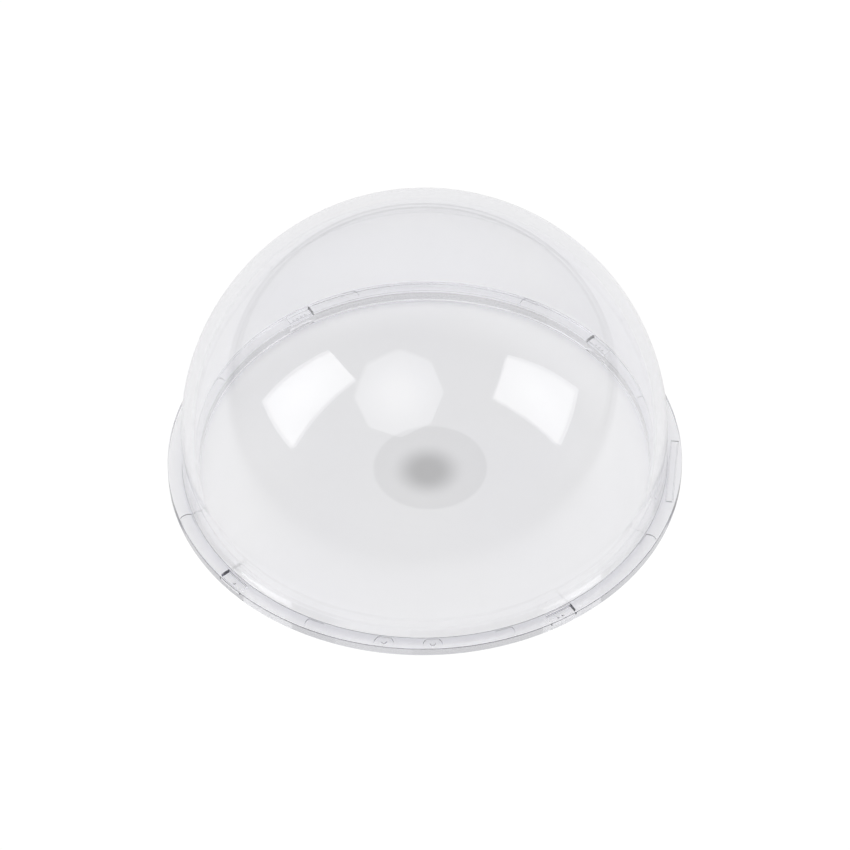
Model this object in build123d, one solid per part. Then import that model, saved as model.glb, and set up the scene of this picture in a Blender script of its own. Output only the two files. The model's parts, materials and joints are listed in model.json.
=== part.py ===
"""Clear dome cover of a dome security camera: one injection-moulded polycarbonate shell.

A part-sphere stands on a short straight skirt, and a narrow flat flange runs round the foot of
the skirt. In the flange's top are four shallow pockets, told apart by one to four raised dots on
their floors, eight ejector-pin marks, two round mould inserts and one long blank plate insert.

Frame: millimetres, +Z up. The origin is the centre of the flange's underside, and +Z is the
dome's axis of revolution. The front is -Y, midway between two of the pockets, and angles round
the flange are counted from it, positive towards +X.
"""
import os

from build123d import *

# ---- driving dimensions -------------------------------------------------------------------
DOME_RADIUS = 52.0            # outside of the sphere and of the skirt
WALL = 2.6                    # wall of the sphere and of the skirt
SPHERE_CENTRE_HEIGHT = 10.0   # the skirt is straight up to here
FLANGE_RADIUS = 55.1
FLANGE_THICKNESS = 2.0
RIM_ROUNDING = 0.15           # both outer edges of the flange
FOOT_FILLET = 0.15            # inside corner where the skirt meets the flange
FLAT_MARGIN = 0.1             # top face left between a mark and the roundings beside it
MOUTH_ROUNDING = 0.3          # inner edge of the open mouth

# four blind pockets in the top of the flange
POCKET_ANGLES = (-40.5, 40.5, 139.0, -139.0)
POCKET_WIDTH = 6.3            # along the flange
POCKET_CORNER = 0.5           # rounding of its two outer corners
POCKET_DEPTH = 1.0
RIM_LIP = 0.4                 # what is left of the flange outside a pocket
PIP_DIAMETER = 0.6            # raised dots on a pocket's floor: one, two, three and four of them
PIP_HEIGHT = 0.2
PIP_PITCH = 1.1

# eight ejector-pin marks, which the dome's wall and the rim cut short
EJECTOR_ANGLES = (-61.8, -17.6, 26.7, 70.3, 116.0, 161.5, -153.0, -107.5)
EJECTOR_DIAMETER = 4.0
EJECTOR_CENTRE_RADIUS = 53.3
EJECTOR_DEPTH = 0.15

# two round mould inserts with a raised core, and the long blank plate insert
STAMP_DIAMETER = 4.1
STAMP_CENTRE_RADIUS = 53.9
STAMP_ANGLES = (-1.0, 10.0)
STAMP_DEPTH = 0.2
STAMP_CORE_DIAMETER = 1.2
STAMP_CORE_RADIUS = 53.4      # from the axis to the core's centre
PLATE_ANGLE = 93.0
PLATE_LENGTH = 18.0
PLATE_OUTER_DISTANCE = 53.85  # from the axis to the plate's outer long side
PLATE_DEPTH = 0.15
PLATE_FRAME_WIDTH = 0.22      # the groove that frames the plate's field

# ---- worked out ---------------------------------------------------------------------------
INNER_RADIUS = DOME_RADIUS - WALL
TOTAL_HEIGHT = SPHERE_CENTRE_HEIGHT + DOME_RADIUS
POCKET_OUTER_RADIUS = FLANGE_RADIUS - RIM_LIP
FLAT_INNER_DISTANCE = DOME_RADIUS + FOOT_FILLET + FLAT_MARGIN   # marks end in a straight side here
FLAT_OUTER_RADIUS = FLANGE_RADIUS - RIM_ROUNDING - FLAT_MARGIN
CUTTER_HEIGHT = 2.0           # cutters stand half above the flange's top, and are trimmed to depth


def at_angle(shape, angle):
    """A shape modelled at the front, carried round the axis to its angle."""
    return Rot(0, 0, angle) * shape


def revolved_shell():
    """Sphere, skirt and flange as one revolved section with an even wall."""
    top_outer = (0, TOTAL_HEIGHT)
    top_inner = (0, TOTAL_HEIGHT - WALL)
    outer_spring = (DOME_RADIUS, SPHERE_CENTRE_HEIGHT)
    inner_spring = (INNER_RADIUS, SPHERE_CENTRE_HEIGHT)
    with BuildPart() as shell:
        with BuildSketch(Plane.XZ):
            with BuildLine():
                CenterArc((0, SPHERE_CENTRE_HEIGHT), DOME_RADIUS, 0, 90)
                Polyline(
                    outer_spring,
                    (DOME_RADIUS, FLANGE_THICKNESS),
                    (FLANGE_RADIUS, FLANGE_THICKNESS),
                    (FLANGE_RADIUS, 0),
                    (INNER_RADIUS, 0),
                    inner_spring,
                )
                CenterArc((0, SPHERE_CENTRE_HEIGHT), INNER_RADIUS, 0, 90)
                Line(top_inner, top_outer)
            make_face()
        revolve(axis=Axis.Z)
        rim_edges = shell.edges().filter_by(GeomType.CIRCLE)
        outer_rim = [edge for edge in rim_edges if abs(edge.radius - FLANGE_RADIUS) < 0.01]
        fillet(outer_rim, RIM_ROUNDING)
        rim_edges = shell.edges().filter_by(GeomType.CIRCLE)
        mouth = [
            edge for edge in rim_edges
            if abs(edge.radius - INNER_RADIUS) < 0.01 and edge.center().Z < 0.01
        ]
        fillet(mouth, MOUTH_ROUNDING)
        foot = [
            edge for edge in shell.edges().filter_by(GeomType.CIRCLE)
            if abs(edge.radius - DOME_RADIUS) < 0.01
            and abs(edge.center().Z - FLANGE_THICKNESS) < 0.01
        ]
        fillet(foot, FOOT_FILLET)
    return shell.part


def standing(radius, height):
    """A cylinder that stands on its base."""
    return Cylinder(radius, height, align=(Align.CENTER, Align.CENTER, Align.MIN))


def front_zone(outer_radius, depth):
    """What a mark at the front may take of the flange: straight inside, round outside."""
    height = depth + CUTTER_HEIGHT
    disc = standing(outer_radius, height)
    width = outer_radius - FLAT_INNER_DISTANCE + 1
    ahead = Pos(0, -FLAT_INNER_DISTANCE - width / 2, 0) * Box(
        2 * PLATE_LENGTH, width, height, align=(Align.CENTER, Align.CENTER, Align.MIN)
    )
    return Pos(0, 0, FLANGE_THICKNESS - depth) * (disc & ahead)


def pocket(pips):
    """A blind pocket at the front, with its row of raised dots left standing."""
    reach = 2 * (FLANGE_RADIUS - INNER_RADIUS)
    block = Pos(0, -FLANGE_RADIUS, FLANGE_THICKNESS) * Box(POCKET_WIDTH, reach, 2 * CUTTER_HEIGHT)
    hollow = block & front_zone(POCKET_OUTER_RADIUS, POCKET_DEPTH)
    upright = hollow.edges().filter_by(Axis.Z).sort_by(Axis.Y)
    hollow = fillet(upright[:2], POCKET_CORNER)
    row_centre = (FLAT_INNER_DISTANCE + POCKET_OUTER_RADIUS) / 2
    for index in range(pips):
        across = (index - (pips - 1) / 2) * PIP_PITCH
        place = Pos(across, -row_centre, FLANGE_THICKNESS - POCKET_DEPTH)
        hollow -= place * standing(PIP_DIAMETER / 2, PIP_HEIGHT)
    return hollow


def ejector_mark():
    """The part of one shallow round pin mark that lies on the flange's flat, at the front."""
    pin = Cylinder(EJECTOR_DIAMETER / 2, CUTTER_HEIGHT)
    disc = Pos(0, -EJECTOR_CENTRE_RADIUS, FLANGE_THICKNESS) * pin
    return disc & front_zone(FLAT_OUTER_RADIUS, EJECTOR_DEPTH)


def stamp():
    """A round mould insert at the front: a shallow disc with a plain raised core."""
    disc = Pos(0, -STAMP_CENTRE_RADIUS, 0) * Cylinder(STAMP_DIAMETER / 2, CUTTER_HEIGHT)
    core = Pos(0, -STAMP_CORE_RADIUS, 0) * Cylinder(STAMP_CORE_DIAMETER / 2, CUTTER_HEIGHT)
    placed = Pos(0, 0, FLANGE_THICKNESS) * (disc - core)
    return placed & front_zone(FLAT_OUTER_RADIUS, STAMP_DEPTH)


def plate():
    """The blank rectangular insert, at the front: a shallow frame groove round a plain field."""
    width = PLATE_OUTER_DISTANCE - FLAT_INNER_DISTANCE
    middle = (PLATE_OUTER_DISTANCE + FLAT_INNER_DISTANCE) / 2
    frame = Box(PLATE_LENGTH, width, 2 * PLATE_DEPTH)
    field = Box(
        PLATE_LENGTH - 2 * PLATE_FRAME_WIDTH,
        width - 2 * PLATE_FRAME_WIDTH,
        2 * PLATE_DEPTH,
    )
    groove = Pos(0, -middle, FLANGE_THICKNESS) * (frame - field)
    return groove & front_zone(FLAT_OUTER_RADIUS, PLATE_DEPTH)


def dome_cover():
    """The whole moulding."""
    cover = revolved_shell()
    for pips, angle in enumerate(POCKET_ANGLES, start=1):
        cover -= at_angle(pocket(pips), angle)
    for angle in EJECTOR_ANGLES:
        cover -= at_angle(ejector_mark(), angle)
    for angle in STAMP_ANGLES:
        cover -= at_angle(stamp(), angle)
    return cover - at_angle(plate(), PLATE_ANGLE)


os.makedirs("parts", exist_ok=True)
cover = dome_cover()
print("solids", len(cover.solids()), "volume", round(cover.volume), "mm3")
print("mass at 1.20 g/cm3", round(cover.volume * 1.2e-3, 1), "g")
print("size", cover.bounding_box().size)
export_step(cover, "parts/dome_cover.step")
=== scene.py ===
# %% [markdown]
# # Clear dome cover of a dome camera
# The whole object is one injection moulding: a part-sphere on a short straight skirt, with a
# narrow flat flange round its foot. It has no colour of its own, so everything the eye gets
# comes from where its two skins stand, how round their edges are and what surrounds them.
# The script rebuilds the skin as one closed mesh, gives it a clear material and lights it.

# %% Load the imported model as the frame
import json
import math

import bpy
import numpy as np
from mathutils import Matrix, Vector, geometry


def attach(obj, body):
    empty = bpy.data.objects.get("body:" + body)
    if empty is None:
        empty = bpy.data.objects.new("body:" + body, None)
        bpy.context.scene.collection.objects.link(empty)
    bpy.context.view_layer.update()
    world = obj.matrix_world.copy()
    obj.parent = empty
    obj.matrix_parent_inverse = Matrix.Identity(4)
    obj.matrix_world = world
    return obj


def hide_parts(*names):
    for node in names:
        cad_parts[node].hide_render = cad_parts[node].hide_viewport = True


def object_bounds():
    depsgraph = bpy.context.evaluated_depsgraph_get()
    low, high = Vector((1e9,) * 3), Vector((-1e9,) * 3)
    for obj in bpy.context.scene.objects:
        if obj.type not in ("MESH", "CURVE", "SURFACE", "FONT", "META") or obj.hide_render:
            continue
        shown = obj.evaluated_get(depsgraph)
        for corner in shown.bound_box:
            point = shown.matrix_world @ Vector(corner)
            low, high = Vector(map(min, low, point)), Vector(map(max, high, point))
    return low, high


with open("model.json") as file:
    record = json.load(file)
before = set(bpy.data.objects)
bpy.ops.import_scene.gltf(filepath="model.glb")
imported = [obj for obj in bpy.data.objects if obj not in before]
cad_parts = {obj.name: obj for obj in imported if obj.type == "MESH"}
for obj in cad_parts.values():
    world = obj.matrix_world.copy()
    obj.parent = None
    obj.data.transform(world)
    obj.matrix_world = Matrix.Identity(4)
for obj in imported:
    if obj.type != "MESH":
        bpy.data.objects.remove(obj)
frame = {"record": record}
cad_low, cad_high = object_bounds()
print("CAD box, mm:", [round(1000 * v, 2) for v in (*cad_low, *cad_high)])

# %% [markdown]
# ## Sizes
# The radii that other parts fasten to are read from the record's mounts, so this skin and the
# CAD part can't drift apart. The rest are the mould-maker's own sizes, in millimetres. Angles
# round the flange are counted from the front, -Y, and are positive towards +X.

# %% Sizes in millimetres
MM = 0.001
mounts = {mount["name"]: mount for mount in frame["record"]["mounts"]}
DOME_RADIUS = mounts["trim_ring_neck"]["dims"]["r_mm"]
INNER_RADIUS = mounts["mouth_bore"]["dims"]["r_mm"]
FLANGE_RADIUS = mounts["flange_rim"]["dims"]["r_mm"]
FLANGE_TOP = mounts["flange_top"]["pos_m"][2] / MM
TOTAL_HEIGHT = cad_high.z / MM
SPHERE_CENTRE = TOTAL_HEIGHT - DOME_RADIUS
RIM_ROUNDING = 0.15
FOOT_FILLET = 0.15
MOUTH_ROUNDING = 0.3
MARK_INNER = 52.25
MARK_OUTER = 54.85

POCKET_ANGLES = (-40.5, 40.5, 139.0, -139.0)
POCKET_WIDTH, POCKET_DEPTH, POCKET_OUTER, POCKET_CORNER = 6.3, 1.0, 54.7, 0.5
PIP_RADIUS, PIP_HEIGHT, PIP_PITCH = 0.3, 0.2, 1.1
EJECTOR_ANGLES = (-61.8, -17.6, 26.7, 70.3, 116.0, 161.5, -153.0, -107.5)
EJECTOR_RADIUS, EJECTOR_CENTRE, EJECTOR_DEPTH = 2.0, 53.3, 0.15
STAMP_ANGLES = (-1.0, 10.0)
STAMP_RADIUS, STAMP_CENTRE, STAMP_DEPTH = 2.05, 53.9, 0.2
CORE_RADIUS, CORE_CENTRE = 0.6, 53.4
PLATE_ANGLE, PLATE_LENGTH, PLATE_OUTER = 93.0, 18.0, 53.85
PLATE_DEPTH, PLATE_FRAME = 0.15, 0.22
print("wall", round(DOME_RADIUS - INNER_RADIUS, 2), "mm, sphere centre at", round(SPHERE_CENTRE, 2))

# %% [markdown]
# ## How a clear skin is meshed
# In a clear part a dent of a few hundredths of a millimetre bends the light that passes, so the
# mesh can't lean on shading tricks. Every surface here is worked out from its formula, and each
# face corner is given the true direction of the surface there. Flat faces then stay optically
# flat and round ones smooth, and no modifier can move an edge. Pieces of skin are kept in one
# list of (points, directions, faces) and are welded into a single closed mesh at the end.

# %% Arcs, straights and the skin list
skin = []


def arc(centre, radius, start, stop, steps, facing=1):
    """Points centre + radius * (cos t, sin t) for t from start to stop degrees, with the
    direction each faces: away from the centre for facing 1, towards it for -1."""
    t = np.radians(np.linspace(start, stop, steps + 1))
    out = np.column_stack([np.cos(t), np.sin(t)])
    return np.array(centre) + radius * out, facing * out


def straight(start, stop, steps=1):
    """Points from start to stop, facing left of the way they go: (-dy, dx)."""
    start, stop = np.array(start, float), np.array(stop, float)
    along = (stop - start) / np.linalg.norm(stop - start)
    points = start + np.linspace(0, 1, steps + 1)[:, None] * (stop - start)
    return points, np.tile([-along[1], along[0]], (steps + 1, 1))


def grid_faces(rows, columns, closed):
    """Quads of a grid of rows x columns points; closed joins the last column to the first."""
    i, j = np.meshgrid(np.arange(rows - 1), np.arange(columns - (not closed)), indexing="ij")
    k = (j + 1) % columns
    quads = [i * columns + j, (i + 1) * columns + j, (i + 1) * columns + k, i * columns + k]
    return np.stack(quads, axis=-1).reshape(-1, 4)


# %% [markdown]
# ## Sphere, skirt, rim and mouth
# These are all one section turned round the axis. Blender's Spin or Screw could do it, but a
# formula also gives the surface's direction at each point: a section point (r, z) that faces
# (a, b) becomes (r sin u, -r cos u, z), facing (a sin u, -a cos u, b). The sphere gets rows of
# about one degree, because a light's straight edge mirrored in it shows every kink.

# %% Turn the section round the axis
AROUND = 288
turn = np.linspace(0, 2 * math.pi, AROUND, endpoint=False)
spoke = np.column_stack([np.sin(turn), -np.cos(turn)])


def revolve(section):
    """Adds the surface of revolution of section = (points, facing), both as (r, z) rows. A row
    at r = 0 is a pole and gets triangles."""
    points, facing = section
    place = np.empty((len(points), AROUND, 3))
    place[..., :2] = points[:, None, :1] * spoke
    place[..., 2] = points[:, None, 1]
    look = np.empty_like(place)
    look[..., :2] = facing[:, None, :1] * spoke
    look[..., 2] = facing[:, None, 1]
    faces = grid_faces(len(points), AROUND, closed=True)
    pole = points[faces[:, 0] // AROUND, 0] < 1e-9
    pole_end = points[faces[:, 1] // AROUND, 0] < 1e-9
    skin.append((place.reshape(-1, 3), look.reshape(-1, 3), faces[~pole & ~pole_end].tolist()))
    tips = np.vstack([faces[pole][:, [0, 1, 2]], faces[pole_end][:, [0, 1, 3]]])
    skin.append((place.reshape(-1, 3), look.reshape(-1, 3), tips.tolist()))


centre = (0, SPHERE_CENTRE)
foot = (DOME_RADIUS + FOOT_FILLET, FLANGE_TOP + FOOT_FILLET)
rim_in = FLANGE_RADIUS - RIM_ROUNDING
mouth = (INNER_RADIUS + MOUTH_ROUNDING, MOUTH_ROUNDING)
revolve(arc(centre, DOME_RADIUS, 90, 0, 84))
revolve(straight((DOME_RADIUS, SPHERE_CENTRE), (DOME_RADIUS, foot[1]), 4))
revolve(arc(foot, FOOT_FILLET, 180, 270, 6, facing=-1))
revolve(arc((rim_in, FLANGE_TOP - RIM_ROUNDING), RIM_ROUNDING, 90, 0, 8))
revolve(straight((FLANGE_RADIUS, FLANGE_TOP - RIM_ROUNDING), (FLANGE_RADIUS, RIM_ROUNDING)))
revolve(arc((rim_in, RIM_ROUNDING), RIM_ROUNDING, 0, -90, 8))
revolve(straight((rim_in, 0), (mouth[0], 0), 2))
revolve(arc(mouth, MOUTH_ROUNDING, 270, 180, 8))
revolve(straight((INNER_RADIUS, MOUTH_ROUNDING), (INNER_RADIUS, SPHERE_CENTRE), 4))
inner = arc(centre, INNER_RADIUS, 0, 90, 72, facing=-1)
revolve(inner)
print("turned surfaces:", len(skin), "with", sum(len(s[2]) for s in skin), "faces")

# %% [markdown]
# ## Outlines of the marks
# Pockets, pin marks, stamps and the plate all lie in the flange's flat top. Each has an outline
# made of smooth stretches that meet at corners. A stretch keeps its points, the way out of the
# outline at each, and a mitre: the move that carries a corner one unit outwards along both of
# its sides at once, which is (m + n) / (1 + m.n) for sides that face m and n.

# %% Outlines with corners
def outline(stretches):
    """From lists of (x, y) points in anticlockwise order, each stretch as (points, out, mitre).
    Out is the tangent turned right, (ty, -tx), from the differences of neighbouring points."""
    made = []
    for points in stretches:
        points = np.asarray(points, float)
        tangent = np.gradient(points, axis=0, edge_order=2 if len(points) > 2 else 1)
        tangent /= np.linalg.norm(tangent, axis=1)[:, None]
        made.append((points, np.column_stack([tangent[:, 1], -tangent[:, 0]])))
    whole = []
    for index, (points, out) in enumerate(made):
        before, after = made[index - 1][1][-1], made[(index + 1) % len(made)][1][0]
        mitre = out.copy()
        mitre[0] = (before + out[0]) / (1 + before @ out[0])
        mitre[-1] = (out[-1] + after) / (1 + out[-1] @ after)
        whole.append((points, out, mitre))
    return whole


def loop_of(shape, shift=0.0):
    """The closed outline moved outwards by shift, as one list of points."""
    return np.vstack([(points + shift * mitre)[:-1] for points, _, mitre in shape])


def turned(points, angle):
    """Points at the front carried round the axis to angle."""
    c, s = math.cos(math.radians(angle)), math.sin(math.radians(angle))
    return np.asarray(points) @ np.array([[c, s], [-s, c]])


# %% [markdown]
# ## Walls, floors and lips
# A mark's wall is a small profile carried round its outline: a rounded lip, an upright wall and
# a rounded root. No moulded edge is sharp, and the thin bright and dark lines round each mark
# are light caught by that rounding. Flats between outlines are filled with Delaunay triangles,
# which leaves no slivers to spoil the skin.

# %% Walls round an outline, and flats between outlines
LIP = 0.06


def step_profile(top, bottom, lip=LIP, root=LIP):
    """The way from a flat at top down to a flat at bottom, as rows (across, height) and the
    direction each faces: quarter arc, straight, quarter arc."""
    upper = arc((-lip, top - lip), lip, 90, 0, 4)
    lower = arc((root, bottom + root), root, 180, 270, 4, facing=-1)
    return np.vstack([upper[0], lower[0]]), np.vstack([upper[1], lower[1]])


def wall(shape, profile, side):
    """Carries the profile round an outline. Across is measured inwards for side -1, as in a
    pit, and outwards for side 1, as round a boss: point + side * across * mitre."""
    rows, facing = profile
    for points, out, mitre in shape:
        place = np.empty((len(rows), len(points), 3))
        place[..., :2] = points + side * rows[:, None, :1] * mitre
        place[..., 2] = rows[:, None, 1]
        look = np.empty_like(place)
        look[..., :2] = side * facing[:, None, :1] * out
        look[..., 2] = facing[:, None, 1]
        faces = grid_faces(len(rows), len(points), closed=False).tolist()
        skin.append((place.reshape(-1, 3), look.reshape(-1, 3), faces))


def flat(height, outer, holes=()):
    """Fills the ground between one closed outline and its holes at one height, facing up."""
    loops = [outer, *holes]
    points = np.vstack(loops)
    ends = np.cumsum([len(loop) for loop in loops])
    areas = [list(range(end - len(loop), end)) for end, loop in zip(ends, loops)]
    filled = geometry.delaunay_2d_cdt([Vector(p) for p in points], [], areas, 0, 1e-7)
    own = np.array([source[0] for source in filled[3]])
    faces = [own[list(face)].tolist() for face, area in zip(filled[2], filled[5]) if area == [0]]
    place = np.column_stack([points, np.full(len(points), height)])
    skin.append((place, np.tile([0.0, 0.0, 1.0], (len(points), 1)), faces))


def pit(shape, depth, islands=()):
    """A flat-floored dent in the flange's top; islands are (outline, height above the floor)."""
    floor = FLANGE_TOP - depth
    wall(shape, step_profile(FLANGE_TOP, floor), side=-1)
    holes = []
    for island, height in islands:
        small = min(LIP, height / 3)
        wall(island, step_profile(floor + height, floor, small, small), side=1)
        flat(floor + height, loop_of(island, -small))
        holes.append(loop_of(island, small))
    flat(floor, loop_of(shape, -LIP), holes)
    return loop_of(shape, LIP)


# %% [markdown]
# ## The marks themselves
# A pocket is a slot with two rounded outer corners. Its floor has one to four raised dots, in
# place of the small number that tells one cavity corner from the next. A pin mark is the part
# of a round pin's end that falls on the flange: for a circle of radius p round a point at
# distance c, the half-angle at radius r is acos((r^2 + c^2 - p^2) / (2 r c)).

# %% Shapes of the marks, at the front
def round_shape(centre_y, radius, steps=40):
    """A whole circle as two half stretches, anticlockwise."""
    halves = (np.linspace(-90, 90, steps // 2 + 1), np.linspace(90, 270, steps // 2 + 1))
    return [
        np.column_stack([radius * np.cos(t), radius * np.sin(t) - centre_y])
        for t in map(np.radians, halves)
    ]


def cut_disc(radius, centre_y, steps=16):
    """The circle between the straight side at MARK_INNER and the arc at MARK_OUTER."""
    outer_half = math.acos(
        (MARK_OUTER**2 + centre_y**2 - radius**2) / (2 * MARK_OUTER * centre_y)
    )
    inner_half = math.sqrt(radius**2 - (centre_y - MARK_INNER) ** 2)
    t = np.linspace(-outer_half, outer_half, steps)
    outer = np.column_stack([MARK_OUTER * np.sin(t), -MARK_OUTER * np.cos(t)])
    low = math.asin((centre_y + outer[-1, 1]) / radius)
    high = math.acos(inner_half / radius) * (1 if centre_y > MARK_INNER else -1)
    side = np.linspace(low, high, steps)
    right = np.column_stack([radius * np.cos(side), radius * np.sin(side) - centre_y])
    inner = np.column_stack([np.linspace(1, -1, 5) * inner_half, np.full(5, -MARK_INNER)])
    left = right[::-1] * [-1, 1]
    return [outer, right, inner, left]


def slot(half_width, outer_radius, corner, steps=6):
    """A straight-sided slot whose outer side is an arc and whose outer corners are rounded."""
    deep = outer_radius - corner
    corner_y = -math.sqrt(deep**2 - (half_width - corner) ** 2)
    lean = math.atan2(half_width - corner, -corner_y)
    t = np.linspace(-lean, lean, 12)
    outer = np.column_stack([outer_radius * np.sin(t), -outer_radius * np.cos(t)])
    bend = np.linspace(lean - math.pi / 2, 0, steps)
    right = np.column_stack([
        half_width - corner + corner * np.cos(bend), corner_y + corner * np.sin(bend)
    ])
    up = np.array([[half_width, corner_y], [half_width, -MARK_INNER]])
    inner = np.array([[half_width, -MARK_INNER], [-half_width, -MARK_INNER]])
    return [outer, right, up, inner, up[::-1] * [-1, 1], right[::-1] * [-1, 1]]


def frame_box(half_length, near, far):
    """A plain rectangle as four stretches, anticlockwise."""
    corners = np.array([
        [-half_length, -far], [half_length, -far], [half_length, -near], [-half_length, -near]
    ])
    return [np.array([a, b]) for a, b in zip(corners, np.roll(corners, -1, axis=0))]


# %% Cut all marks and fill the flange's top between them
holes = []
pip_row = (MARK_INNER + POCKET_OUTER) / 2
for dots, angle in enumerate(POCKET_ANGLES, start=1):
    across = (np.arange(dots) - (dots - 1) / 2) * PIP_PITCH
    pips = [
        (outline([turned(part + [x, 0], angle) for part in round_shape(pip_row, PIP_RADIUS, 24)]),
         PIP_HEIGHT)
        for x in across
    ]
    shape = outline([
        turned(part, angle) for part in slot(POCKET_WIDTH / 2, POCKET_OUTER, POCKET_CORNER)
    ])
    holes.append(pit(shape, POCKET_DEPTH, pips))
for angle in EJECTOR_ANGLES:
    shape = outline([turned(part, angle) for part in cut_disc(EJECTOR_RADIUS, EJECTOR_CENTRE)])
    holes.append(pit(shape, EJECTOR_DEPTH))
for angle in STAMP_ANGLES:
    shape = outline([turned(part, angle) for part in cut_disc(STAMP_RADIUS, STAMP_CENTRE)])
    core = outline([turned(part, angle) for part in round_shape(CORE_CENTRE, CORE_RADIUS)])
    holes.append(pit(shape, STAMP_DEPTH, [(core, STAMP_DEPTH)]))
plate = outline([
    turned(part, PLATE_ANGLE) for part in frame_box(PLATE_LENGTH / 2, MARK_INNER, PLATE_OUTER)
])
field = outline([
    turned(part, PLATE_ANGLE)
    for part in frame_box(
        PLATE_LENGTH / 2 - PLATE_FRAME, MARK_INNER + PLATE_FRAME, PLATE_OUTER - PLATE_FRAME
    )
])
holes.append(pit(plate, PLATE_DEPTH, [(field, PLATE_DEPTH)]))
flat(FLANGE_TOP, rim_in * spoke, [foot[0] * spoke, *holes])
print("marks in the flange:", len(holes))

# %% [markdown]
# ## Weld the skin
# Neighbouring pieces of skin meet at the same points, so points that agree to a ten-thousandth
# of a millimetre become one. Each face is then turned so that it looks the way its corners
# face. A closed skin has every edge on exactly two faces, and the cell counts any that isn't.

# %% One closed mesh with its true directions
def weld(pieces, name):
    """Joins (points in mm, directions, faces) into one mesh in metres."""
    points = np.vstack([p for p, _, _ in pieces])
    facing = np.vstack([d for _, d, _ in pieces])
    facing /= np.linalg.norm(facing, axis=1)[:, None]
    starts = np.cumsum([0] + [len(p) for p, _, _ in pieces])
    _, first, same = np.unique(
        np.round(points * 1e4).astype(np.int64), axis=0, return_index=True, return_inverse=True
    )
    same = same.ravel()
    faces, corners = [], []
    for (_, _, group), start in zip(pieces, starts):
        for size in (3, 4):
            rows = np.array([face for face in group if len(face) == size], int)
            if not len(rows):
                continue
            rows = rows + start
            a, b, c = (points[rows[:, k]] for k in (0, 1, 2))
            normal = np.cross(b - a, points[rows[:, -1]] - a) + np.cross(c - b, a - b)
            wrong = np.einsum("ij,ij->i", normal, facing[rows].sum(axis=1)) < 0
            rows[wrong] = rows[wrong][:, ::-1]
            faces += same[rows].tolist()
            corners.append(facing[rows].reshape(-1, 3))
    mesh = bpy.data.meshes.new(name)
    mesh.from_pydata((points[first] * MM).tolist(), [], faces)
    mesh.shade_smooth()
    mesh.normals_split_custom_set(np.vstack(corners).tolist())
    return mesh


def open_edges(mesh):
    """Edges that don't lie on exactly two faces."""
    edge_of = np.empty(len(mesh.loops), int)
    mesh.loops.foreach_get("edge_index", edge_of)
    return int((np.bincount(edge_of, minlength=len(mesh.edges)) != 2).sum())


shell_mesh = weld(skin, "dome_shell")
shell = bpy.data.objects.new("dome_shell", shell_mesh)
bpy.context.collection.objects.link(shell)
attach(shell, "root")
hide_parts("dome_cover")
triangles = sum(len(face.vertices) - 2 for face in shell_mesh.polygons)
print("skin:", triangles, "triangles,", open_edges(shell_mesh), "open edges")

# %% [markdown]
# ## Helpers for materials
# Colours are written as the hex values a paint chart would give, and one function turns them
# into the linear numbers that a shader works in. One more adds a node, sets it and links it.

# %% Colours and nodes
def linear(code):
    """An sRGB hex colour as linear RGBA: c / 12.92 below 0.04045, and
    ((c + 0.055) / 1.055)^2.4 above it."""
    shown = np.array([int(code[i:i + 2], 16) for i in (1, 3, 5)]) / 255
    value = np.where(shown < 0.04045, shown / 12.92, ((shown + 0.055) / 1.055) ** 2.4)
    return (*value.tolist(), 1.0)


def add(tree, kind, settings=None, **inputs):
    """Adds a node. Settings are its own properties; inputs are values or (node, output)."""
    node = tree.nodes.new(kind)
    for key, value in (settings or {}).items():
        setattr(node, key, value)
    for key, value in inputs.items():
        key = int(key[1:]) if key[1:].isdigit() else key.replace("_", " ")
        socket = node.inputs[key]
        if isinstance(value, tuple) and isinstance(value[0], bpy.types.Node):
            tree.links.new(value[0].outputs[value[1]], socket)
        else:
            socket.default_value = value
    return node


def new_material(name):
    """An empty node material and its tree."""
    material = bpy.data.materials.new(name)
    material.use_nodes = True
    material.node_tree.nodes.clear()
    return material, material.node_tree
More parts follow.
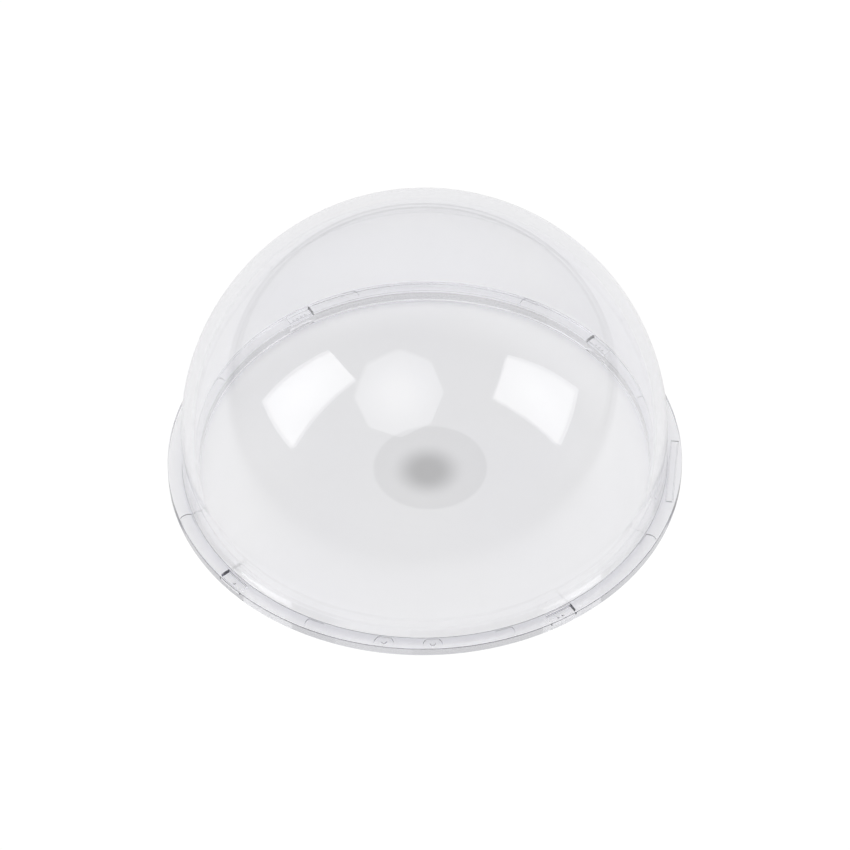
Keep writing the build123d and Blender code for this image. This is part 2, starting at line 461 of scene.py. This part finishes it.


# %% [markdown]
# ## Clear polycarbonate, polished mould
# The cover is optical polycarbonate, IOR 1.585, moulded in a mirror-polished tool. It reflects
# about 5% at each of its skins. The melt leaves a long, faint waviness in the skin, a few
# centimetres from crest to crest, and handling leaves hair-fine rubs that dull the gloss in
# places; the rubs are drawn coarser than real ones, or they would not show. The plastic itself
# takes a little light per millimetre, slightly less of the violet, which only shows where one
# looks along the wall, as at the rim. How much it takes is a given value.

# %% The clear material
def clear_polycarbonate():
    material, tree = new_material("moulded_clear_polycarbonate")
    place = add(tree, "ShaderNodeTexCoord")
    waves = add(
        tree, "ShaderNodeTexNoise", {"noise_dimensions": "3D"},
        Vector=(place, "Object"), Scale=1 / (22 * MM), Detail=1.0, Roughness=0.4,
    )
    bump = add(
        tree, "ShaderNodeBump", Height=(waves, "Fac"), Strength=0.03, Distance=0.015 * MM
    )
    rub_space = add(
        tree, "ShaderNodeMapping", Vector=(place, "Object"), Scale=(1.0, 1.0, 0.12),
        Rotation=(0.5, 0.8, 0.3),
    )
    rubs = add(
        tree, "ShaderNodeTexNoise", Vector=(rub_space, "Vector"), Scale=1 / (1.6 * MM),
        Detail=4.0, Roughness=0.65,
    )
    gloss = add(
        tree, "ShaderNodeMapRange", {"clamp": True}, Value=(rubs, "Fac"),
        From_Min=0.5, From_Max=0.85, To_Min=0.0, To_Max=0.014,
    )
    tint = add(tree, "ShaderNodeValToRGB", Fac=(waves, "Fac"))
    tint.color_ramp.elements[0].color = linear("#FDFDFF")
    tint.color_ramp.elements[1].color = linear("#FFFFFF")
    skin_shader = add(
        tree, "ShaderNodeBsdfPrincipled", Base_Color=(tint, "Color"), Roughness=(gloss, "Result"),
        IOR=1.585, Transmission_Weight=1.0, Normal=(bump, "Normal"),
    )
    body = add(tree, "ShaderNodeVolumeAbsorption", Color=linear("#DDDDE6"), Density=26.0)
    add(
        tree, "ShaderNodeOutputMaterial", Surface=(skin_shader, "BSDF"), Volume=(body, "Volume")
    )
    return material


shell_mesh.materials.append(clear_polycarbonate())

# %% [markdown]
# ## Table
# A plain white table top, which is stage and not part of the object. Part of its light comes
# through it from below, as on a lit acrylic table, which keeps it white right up to the flange.
# It lies a millimetre under the flange, because the film of air is what keeps the flange's
# underside bright. Three things about it are given, not physical. Painted shade makes it a touch
# darker inside the cover's mouth, with a small darker disc and a soft dark spot in the middle.
# What is mirrored in the dome sees it lit only in a patch behind and under the cover, so the
# front of the dome shows no hard horizon. And a camera that looks straight at it sees plain
# white, with no shadow.

# %% Sizes and shades of the table
FLOOR_SIZE = 4.0
FLOOR_GAP = 1.0 * MM
TABLE_GLOW, TABLE_WHITE, TABLE_GREY = 0.51, 1.03, 0.5
# Painted shade on the table under the cover: darker inside the mouth, a small darker disc and a
# soft dark spot in the middle.
PAINTED_MOUTH_SHADE, MOUTH_MARGIN, MOUTH_SOFT = 0.965, 1.0, 4.0
PAINTED_DISC_SHADE, PAINTED_DISC_RADIUS, PAINTED_DISC_SOFT, PAINTED_DISC_MIDDLE = 0.92, 12.6, 0.8, (1.2, -0.2)
PAINTED_SPOT_SHADE, PAINTED_SPOT_RADIUS, PAINTED_SPOT_SOFT, PAINTED_SPOT_MIDDLE = 0.66, 8.4, 6.4, (0.8, -1.2)
LIT_MIDDLE, LIT_RADIUS, LIT_FALL, UNLIT_SHADE = 0.40, 0.44, 0.12, 0.3


def sheet(name, points, material):
    """One flat face through the points."""
    mesh = bpy.data.meshes.new(name)
    mesh.from_pydata(points, [], [list(range(len(points)))])
    mesh.materials.append(material)
    made = bpy.data.objects.new(name, mesh)
    bpy.context.collection.objects.link(made)
    return made


def ring_shade(tree, place, middle, radius, soft, inside):
    """A grey value: inside within radius of middle, rising smoothly to 1 over soft, all in mm."""
    moved = add(
        tree, "ShaderNodeVectorMath", {"operation": "DISTANCE"}, _0=(place, "Object"),
        _1=(middle[0] * MM, middle[1] * MM, -FLOOR_GAP),
    )
    return add(
        tree, "ShaderNodeMapRange", {"interpolation_type": "SMOOTHSTEP"}, Value=(moved, "Value"),
        From_Min=(radius - soft) * MM, From_Max=radius * MM, To_Min=inside, To_Max=1.0,
    )


# %% The table's material
def white_table():
    material, tree = new_material("lit_matt_white_table")
    place = add(tree, "ShaderNodeTexCoord")
    # Painted shade: darker inside the mouth, a small darker disc and a soft dark spot in the
    # middle.
    painted_mouth_shade = ring_shade(
        tree, place, (0, 0), INNER_RADIUS + MOUTH_MARGIN, MOUTH_SOFT, PAINTED_MOUTH_SHADE
    )
    painted_disc_shade = ring_shade(tree, place, PAINTED_DISC_MIDDLE, PAINTED_DISC_RADIUS, PAINTED_DISC_SOFT, PAINTED_DISC_SHADE)
    painted_spot_shade = ring_shade(tree, place, PAINTED_SPOT_MIDDLE, PAINTED_SPOT_RADIUS, PAINTED_SPOT_SOFT, PAINTED_SPOT_SHADE)
    from_back = add(
        tree, "ShaderNodeVectorMath", {"operation": "DISTANCE"}, _0=(place, "Object"),
        _1=(0.0, LIT_MIDDLE, -FLOOR_GAP),
    )
    front_edge = add(
        tree, "ShaderNodeMapRange", {"interpolation_type": "SMOOTHSTEP"},
        Value=(from_back, "Value"), From_Min=LIT_RADIUS, From_Max=LIT_RADIUS + LIT_FALL,
        To_Min=1.0, To_Max=UNLIT_SHADE,
    )
    path = add(tree, "ShaderNodeLightPath")
    looked_through = add(
        tree, "ShaderNodeMath", {"operation": "LESS_THAN"}, _0=(path, "Glossy Depth"), _1=0.5
    )
    shade = add(
        tree, "ShaderNodeMath", {"operation": "MAXIMUM"}, _0=(front_edge, "Result"),
        _1=(looked_through, "Value"),
    )
    for part in (painted_mouth_shade, painted_disc_shade, painted_spot_shade):
        shade = add(
            tree, "ShaderNodeMath", {"operation": "MULTIPLY"}, _0=(shade, "Value"),
            _1=(part, "Result"),
        )
    grey = add(
        tree, "ShaderNodeMath", {"operation": "MULTIPLY"}, _0=(shade, "Value"), _1=TABLE_GREY
    )
    glow = add(
        tree, "ShaderNodeMath", {"operation": "MULTIPLY"}, _0=(shade, "Value"), _1=TABLE_GLOW
    )
    top = add(tree, "ShaderNodeBsdfDiffuse", Color=(grey, "Value"))
    lit = add(tree, "ShaderNodeEmission", Strength=(glow, "Value"))
    whole = add(tree, "ShaderNodeAddShader", _0=(top, "BSDF"), _1=(lit, "Emission"))
    bare = add(tree, "ShaderNodeEmission", Strength=TABLE_WHITE)
    seen = add(
        tree, "ShaderNodeMixShader", Fac=(path, "Is Camera Ray"), _1=(whole, "Shader"),
        _2=(bare, "Emission"),
    )
    add(tree, "ShaderNodeOutputMaterial", Surface=(seen, "Shader"))
    return material


half = FLOOR_SIZE / 2
table = sheet(
    "table",
    [(-half, -half, -FLOOR_GAP), (half, -half, -FLOOR_GAP),
     (half, half, -FLOOR_GAP), (-half, half, -FLOOR_GAP)],
    white_table(),
)

# %% [markdown]
# ## Light
# The studio is dim in front, so that the dome mirrors little but three soft boxes: an oblong one
# on each side and an eight-sided one above the camera. They are glowing sheets, brighter in the
# middle where the lamp sits behind the cloth. The back of the room is a pale wall: what enters
# the rim or the foot of the wall is turned upwards by the underside and leaves towards the back,
# so a dark wall there would draw a black line right round the flange.

# %% Where a light hangs
def aim(direction, roll):
    """A frame whose Z looks along -direction, its X level, then rolled by roll degrees."""
    toward = -Vector(direction).normalized()
    level = Vector((0, 0, 1)).cross(toward).normalized()
    up = toward.cross(level)
    basis = Matrix((level, up, toward)).transposed()
    return basis.to_4x4() @ Matrix.Rotation(math.radians(roll), 4, "Z")


def from_angles(azimuth, elevation):
    """The direction at an azimuth from the front and an elevation, both in degrees."""
    a, e = math.radians(azimuth), math.radians(elevation)
    return Vector((math.sin(a) * math.cos(e), -math.cos(a) * math.cos(e), math.sin(e)))


# %% A soft box
def glowing_cloth(name, middle, edge, reach, streak):
    """Emission that falls from middle to edge over reach metres from the sheet's own centre;
    streak squeezes the fall across the sheet's X, as a long tube does."""
    material, tree = new_material(name)
    place = add(tree, "ShaderNodeTexCoord")
    squeeze = add(
        tree, "ShaderNodeMapping", Vector=(place, "Object"),
        Scale=(streak / reach, 1 / reach, 1 / reach),
    )
    ball = add(
        tree, "ShaderNodeTexGradient", {"gradient_type": "SPHERICAL"}, Vector=(squeeze, "Vector")
    )
    level = add(
        tree, "ShaderNodeMapRange", Value=(ball, "Fac"), To_Min=edge, To_Max=middle
    )
    front = add(tree, "ShaderNodeEmission", Color=linear("#FFFFFF"), Strength=(level, "Result"))
    back = add(tree, "ShaderNodeBsdfTransparent")
    turned_away = add(tree, "ShaderNodeNewGeometry")
    mix = add(
        tree, "ShaderNodeMixShader", Fac=(turned_away, "Backfacing"),
        _1=(front, "Emission"), _2=(back, "BSDF"),
    )
    add(tree, "ShaderNodeOutputMaterial", Surface=(mix, "Shader"))
    return material


def soft_box(name, azimuth, elevation, distance, roll, points, cloth):
    """Hangs a glowing sheet at a distance from the dome, facing it."""
    made = sheet(name, [(x, y, 0.0) for x, y in points], cloth)
    direction = from_angles(azimuth, elevation)
    aim_point = Vector((0, 0, SPHERE_CENTRE * MM))
    made.matrix_world = Matrix.Translation(aim_point + direction * distance) @ aim(direction, roll)
    made.visible_camera = False
    made.visible_shadow = False
    return made


# %% Hang the three soft boxes
BOX_DISTANCE = 1.1


def corners(points):
    """Corners given for a sheet one metre away, at BOX_DISTANCE."""
    return [(x * BOX_DISTANCE, y * BOX_DISTANCE) for x, y in points]


def eight_sided(radius):
    t = np.radians(np.arange(22.5, 360, 45))
    return np.column_stack([radius * np.cos(t), radius * np.sin(t)]).tolist()


soft_box("soft_box_left", -72.1, 33.6, BOX_DISTANCE, 0.0,
         corners([(0.182, 0.297), (-0.164, 0.423), (-0.247, -0.356), (0.221, -0.369)]),
         glowing_cloth("lit_cloth_left", 2.6, 2.1, 0.4, 2.0))
soft_box("soft_box_right", 85.2, 34.2, BOX_DISTANCE, 0.0,
         corners([(-0.128, 0.357), (-0.291, -0.282), (0.154, -0.390), (0.268, 0.311)]),
         glowing_cloth("lit_cloth_right", 2.5, 2.0, 0.4, 2.0))
soft_box("soft_box_above", -16.7, 62.5, BOX_DISTANCE, 0.0,
         corners(eight_sided(0.375)),
         glowing_cloth("lit_cloth_above", 1.75, 0.9, 0.4, 1.0))

# %% [markdown]
# ## Room
# The room is one glowing background, dim in front and pale behind and along the ground. Matt
# surfaces don't see it: after a matt bounce it is swapped for an even fill, which lights the
# table without showing in the dome. That is a studio cheat, and it is kept to the background.

# %% The room's glow
ROOM_DIM, ROOM_LOW, ROOM_BACK, FILL = 0.2, 0.3, 0.85, 0.71
world = bpy.data.worlds.new("studio")
world.use_nodes = True
tree = world.node_tree
tree.nodes.clear()
look_way = add(tree, "ShaderNodeTexCoord")
split = add(tree, "ShaderNodeSeparateXYZ", Vector=(look_way, "Generated"))
low_glow = add(
    tree, "ShaderNodeMapRange", {"interpolation_type": "SMOOTHSTEP"}, Value=(split, "Z"),
    From_Min=0.0, From_Max=0.3, To_Min=ROOM_LOW, To_Max=ROOM_DIM,
)
back_glow = add(
    tree, "ShaderNodeMapRange", {"interpolation_type": "SMOOTHSTEP"}, Value=(split, "Y"),
    From_Min=-0.1, From_Max=0.4, To_Min=0.0, To_Max=ROOM_BACK,
)
wall_glow = add(
    tree, "ShaderNodeMath", {"operation": "MAXIMUM"}, _0=(low_glow, "Result"),
    _1=(back_glow, "Result"),
)
bounced = add(tree, "ShaderNodeLightPath")
matt = add(
    tree, "ShaderNodeMath", {"operation": "GREATER_THAN"}, _0=(bounced, "Diffuse Depth"), _1=0.5
)
strength = add(
    tree, "ShaderNodeMix", Factor=(matt, "Value"), _2=(wall_glow, "Value"), _3=FILL
)
sky = add(tree, "ShaderNodeBackground", Strength=(strength, "Result"))
add(tree, "ShaderNodeOutputWorld", Surface=(sky, "Background"))
bpy.context.scene.world = world

# %% [markdown]
# ## Camera and film
# A long lens from well back and above, so the flange's ellipse barely narrows towards the back.
# The plain Standard view keeps the table white. Light has to cross up to four skins and turn
# inside the rim, so the paths are given many bounces.

# %% Camera
CAMERA_AZIMUTH, CAMERA_ELEVATION, CAMERA_ROLL = 8.8, 46.65, 0.83
CAMERA_DISTANCE = 1.56
camera_data = bpy.data.cameras.new("camera")
camera_data.sensor_width = 36.0
camera_data.lens = 309.8
camera = bpy.data.objects.new("camera", camera_data)
bpy.context.collection.objects.link(camera)
back = from_angles(CAMERA_AZIMUTH, CAMERA_ELEVATION)
right = Vector((0, 0, 1)).cross(back).normalized()
target = Vector((0, 0, 11.9 * MM)) + 0.15 * MM * right
turn_to = (-back).to_track_quat("-Z", "Y").to_matrix().to_4x4()
roll = Matrix.Rotation(math.radians(-CAMERA_ROLL), 4, "Z")
camera.matrix_world = Matrix.Translation(target + back * CAMERA_DISTANCE) @ turn_to @ roll
scene = bpy.context.scene
scene.camera = camera
scene.view_settings.view_transform = "Standard"
scene.cycles.use_denoising = True
scene.cycles.max_bounces = 96
scene.cycles.transmission_bounces = 96
scene.cycles.glossy_bounces = 96
scene.cycles.diffuse_bounces = 8
scene.cycles.blur_glossy = 0.0
